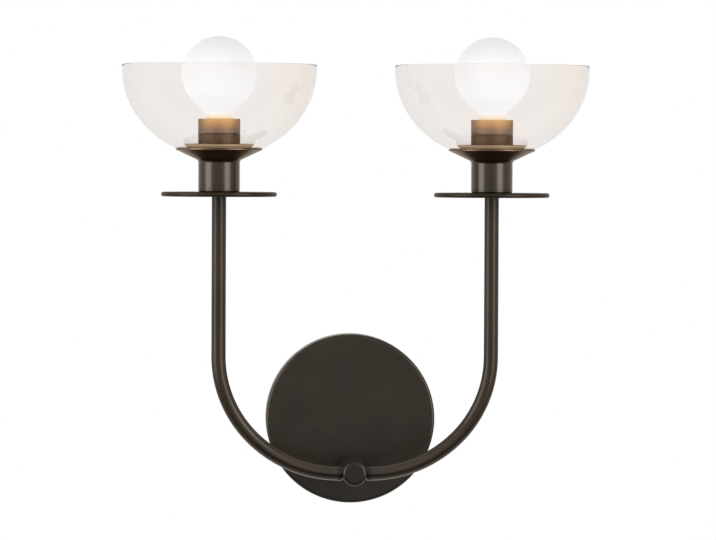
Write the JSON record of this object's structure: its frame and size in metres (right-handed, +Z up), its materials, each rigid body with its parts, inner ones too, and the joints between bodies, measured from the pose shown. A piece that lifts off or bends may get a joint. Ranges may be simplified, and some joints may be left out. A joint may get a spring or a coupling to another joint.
{
  "type": "wall sconce",
  "caption": "Double arm wall sconce: round plate, standoff hub, U-bent tube arms, drip discs, flared cups and open clear glass bowls around frosted globe lamps.",
  "frame": {"origin": "centre of the round wall plate, on the wall's surface", "axes": "+Y into the wall, -Y out into the room, +Z up, +X to the right for someone who faces the wall"},
  "size_m": [0.3736, 0.1828, 0.3788],
  "materials": {
    "bronze_plate": "satin dark bronze, brushed through in places",
    "bronze_tube": "satin dark bronze",
    "bronze_turned": "satin dark bronze, turned",
    "bronze_spun": "satin dark bronze, spun",
    "bronze_socket": "satin bronze",
    "zinc_steel": "yellow zinc plate",
    "blackened_screw": "blackened steel",
    "green_screw": "green dyed zinc",
    "socket_metal": "zinc plate",
    "socket_plastic": "moulded black phenolic",
    "shell_brass": "bright",
    "clear_glass": "clear, polished",
    "silicone": "translucent silicone",
    "frosted_glass": "frosted white, lit",
    "stem_glass": "clear",
    "filament": "yellow phosphor",
    "nickel_base": "nickel plate",
    "lamp_insulation": "black glass",
    "solder": "solder",
    "black_lead": "insulated wire",
    "white_lead": "insulated wire",
    "splice_black": "moulded",
    "splice_white": "moulded"
  },
  "bodies": {
    "wall_frame": {"backplate": "bronze_plate", "standoff_tube": "bronze_tube", "arm_tube_left": "bronze_tube", "arm_tube_right": "bronze_tube", "arm_hub": "bronze_turned", "arm_ferrule_left": "bronze_turned", "arm_ferrule_right": "bronze_turned", "drip_disc_left": "bronze_spun", "drip_disc_right": "bronze_spun", "shade_cup_left": "bronze_spun", "shade_cup_right": "bronze_spun", "shade_ring_left": "bronze_socket", "shade_ring_right": "bronze_socket", "socket_sleeve_left": "bronze_socket", "socket_sleeve_right": "bronze_socket", "mounting_bar": "zinc_steel", "hub_lock_washer": "zinc_steel", "hub_hex_nut": "zinc_steel", "cup_lock_washers": "zinc_steel", "cup_hex_nuts": "zinc_steel", "hub_nipple": "zinc_steel", "socket_nipple_left": "zinc_steel", "socket_nipple_right": "zinc_steel", "plate_set_screws": "blackened_screw", "ground_screw": "green_screw", "socket_cap_left": "socket_metal", "socket_cap_right": "socket_metal", "socket_body_left": "socket_plastic", "socket_body_right": "socket_plastic", "socket_shell_left": "shell_brass", "socket_shell_right": "shell_brass", "socket_contact_left": "shell_brass", "socket_contact_right": "shell_brass", "glass_bowl_left": "clear_glass", "glass_bowl_right": "clear_glass", "ring_gasket_left": "silicone", "ring_gasket_right": "silicone", "bowl_pad_left": "silicone", "bowl_pad_right": "silicone", "lead_hot_left": "black_lead", "lead_hot_right": "black_lead", "lead_neutral_left": "white_lead", "lead_neutral_right": "white_lead", "splice_cap_hot": "splice_black", "splice_cap_neutral": "splice_white"},
    "lamp_contact_left": {"lamp_contact_left": "solder"},
    "lamp_left": {"lamp_globe_left": "frosted_glass", "lamp_base_left": "nickel_base", "lamp_insulator_left": "lamp_insulation", "lamp_stem_left": "stem_glass", "lamp_filaments_left": "filament"},
    "lamp_contact_right": {"lamp_contact_right": "solder"},
    "lamp_right": {"lamp_globe_right": "frosted_glass", "lamp_base_right": "nickel_base", "lamp_insulator_right": "lamp_insulation", "lamp_stem_right": "stem_glass", "lamp_filaments_right": "filament"}
  },
  "joints": [
    {"name": "lamp_left_rise", "type": "slide", "parent": "wall_frame", "child": "lamp_contact_left", "axis": [0, 0, 1], "range_m": [0, 0.0146]},
    {"name": "lamp_left_turn", "type": "hinge", "parent": "lamp_contact_left", "child": "lamp_left", "pos_m": [-0.109, -0.105, 0.28], "axis": [0, 0, 1], "range_deg": [0, 1440]},
    {"name": "lamp_right_rise", "type": "slide", "parent": "wall_frame", "child": "lamp_contact_right", "axis": [0, 0, 1], "range_m": [0, 0.0146]},
    {"name": "lamp_right_turn", "type": "hinge", "parent": "lamp_contact_right", "child": "lamp_right", "pos_m": [0.109, -0.105, 0.28], "axis": [0, 0, 1], "range_deg": [0, 1440]}
  ],
  "couplings": [
    {"joint": "lamp_left_rise", "follows": "lamp_left_turn", "m_per_rad": 0.00057757},
    {"joint": "lamp_right_rise", "follows": "lamp_right_turn", "m_per_rad": 0.00057757}
  ]
}
